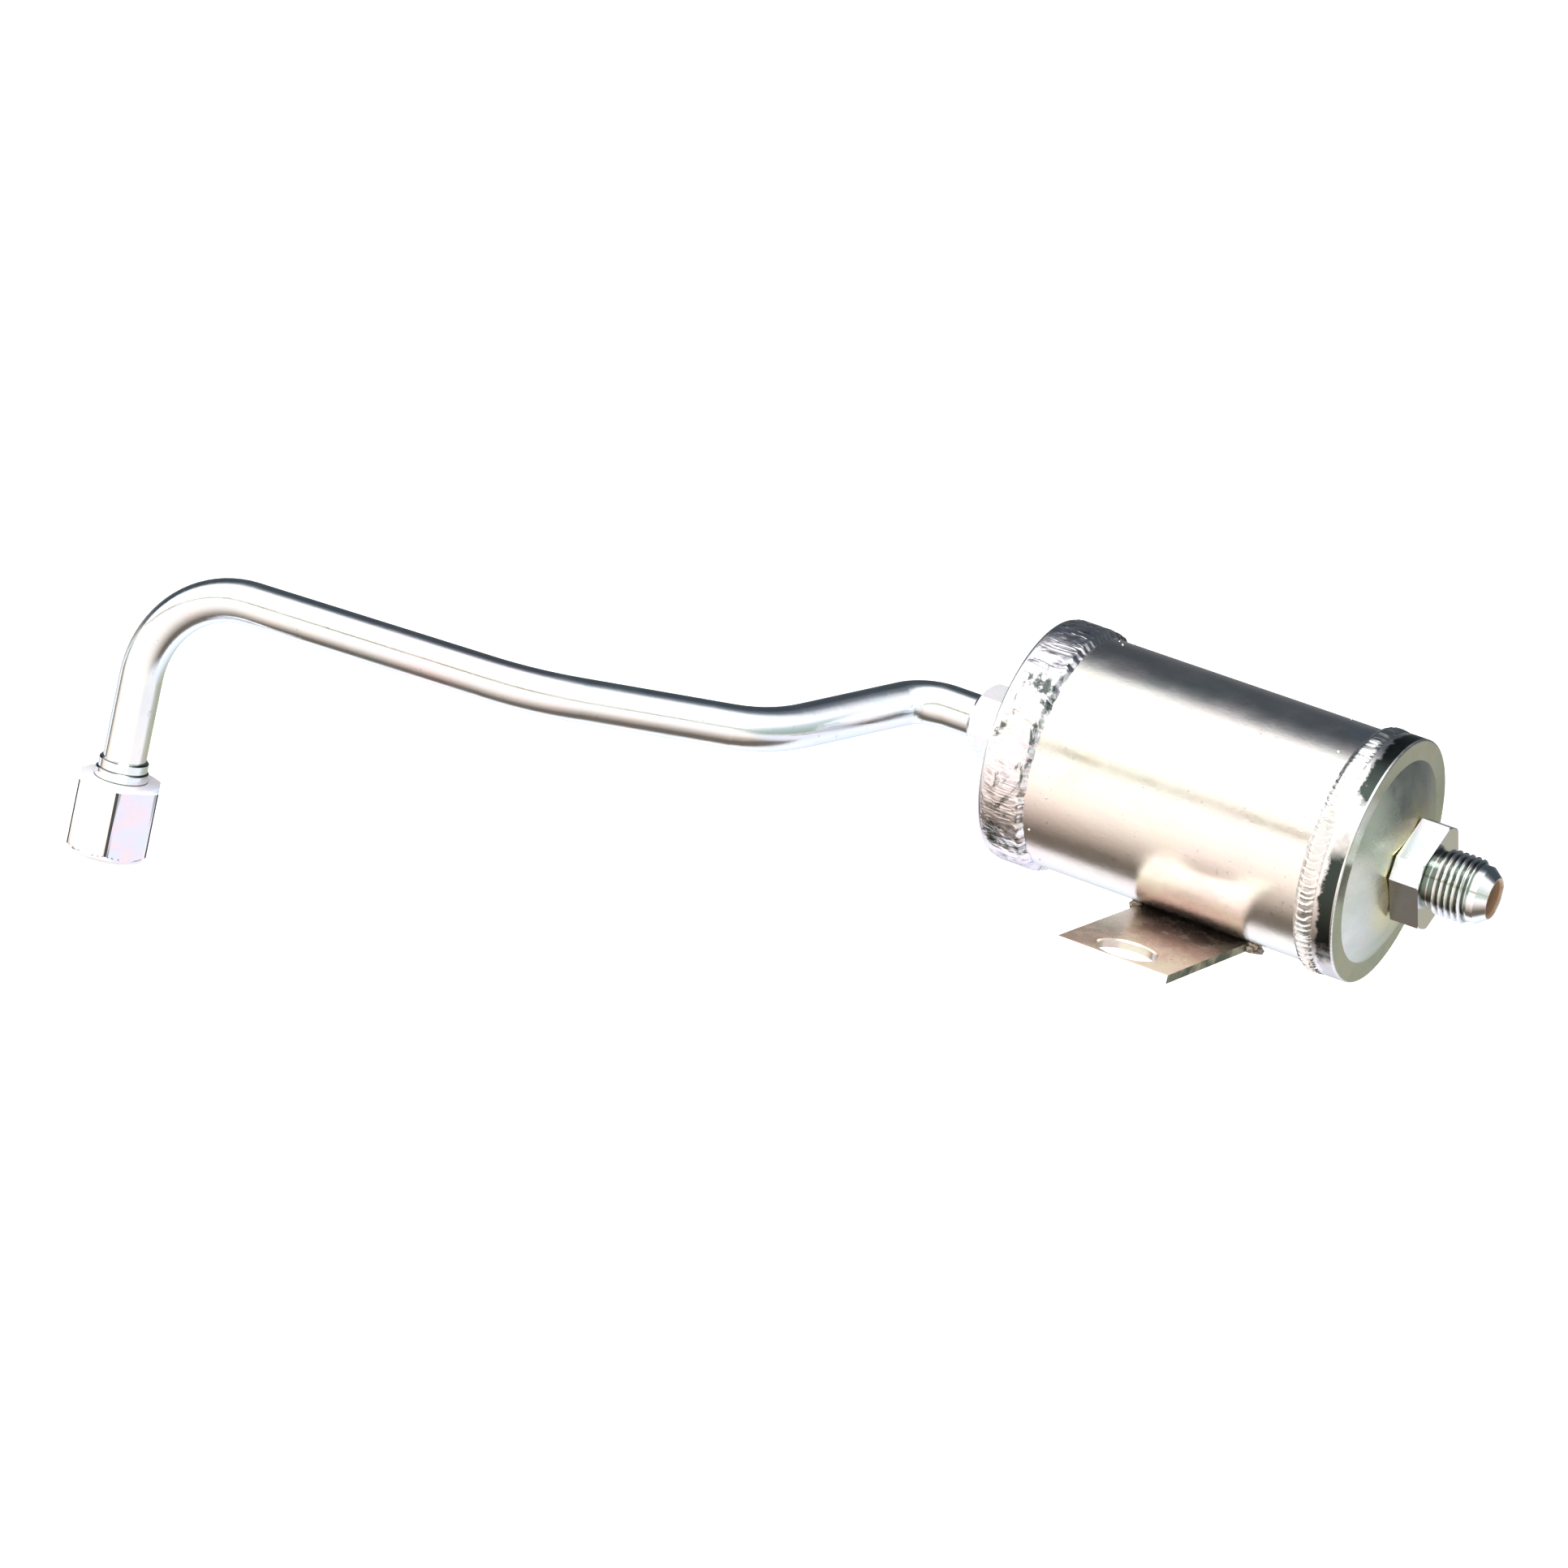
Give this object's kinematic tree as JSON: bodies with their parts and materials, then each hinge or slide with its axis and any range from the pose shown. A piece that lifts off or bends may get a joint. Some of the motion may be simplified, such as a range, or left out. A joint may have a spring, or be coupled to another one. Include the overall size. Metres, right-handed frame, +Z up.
{
  "type": "inline fuel filter",
  "caption": "Welded steel canister fuel filter with a bent flared inlet line and nut, a threaded flared outlet connector and a drilled mounting plate.",
  "frame": {"origin": "centre of the mounting plate's bolt hole, on the plate's underside", "axes": "+Z up out of the plate, +X along the canister towards the outlet connector, -Y towards the plate's free edge"},
  "size_m": [0.2955, 0.1041, 0.1019],
  "materials": {
    "chromate_zinc": "bright zinc plate with a yellow iridescent chromate",
    "weld_metal": "rippled weld under the same plating",
    "braze_metal": "as brazed",
    "filter_paper": "resin treated paper",
    "tinplate": "tin plated sheet",
    "nitrile_rubber": "matt black",
    "spring_steel": "bright drawn wire"
  },
  "bodies": {
    "filter": {"canister_shell": "chromate_zinc", "outlet_end_cap": "chromate_zinc", "inlet_end_cap": "chromate_zinc", "outlet_connector": "chromate_zinc", "inlet_coupling": "chromate_zinc", "inlet_tube": "chromate_zinc", "mounting_plate": "chromate_zinc", "outlet_seam_weld": "weld_metal", "inlet_seam_weld": "weld_metal", "inlet_tube_weld": "weld_metal", "plate_tack_welds": "weld_metal", "outlet_connector_braze": "braze_metal", "inlet_coupling_braze": "braze_metal", "pleated_paper": "filter_paper", "core_tube": "tinplate", "element_outlet_cap": "tinplate", "element_inlet_cap": "tinplate", "element_seal": "nitrile_rubber", "element_spring": "spring_steel"},
    "sleeve": {"flare_sleeve": "chromate_zinc"},
    "nut": {"flare_nut": "chromate_zinc"}
  },
  "joints": [
    {"name": "sleeve_slide", "type": "slide", "parent": "filter", "child": "sleeve", "axis": [0, 0, 1], "range_m": [0, 0.0175]},
    {"name": "nut_spin", "type": "hinge", "parent": "sleeve", "child": "nut", "pos_m": [-0.2249, -0.0291, -0.039], "axis": [0, 0, 1], "continuous": true}
  ]
}
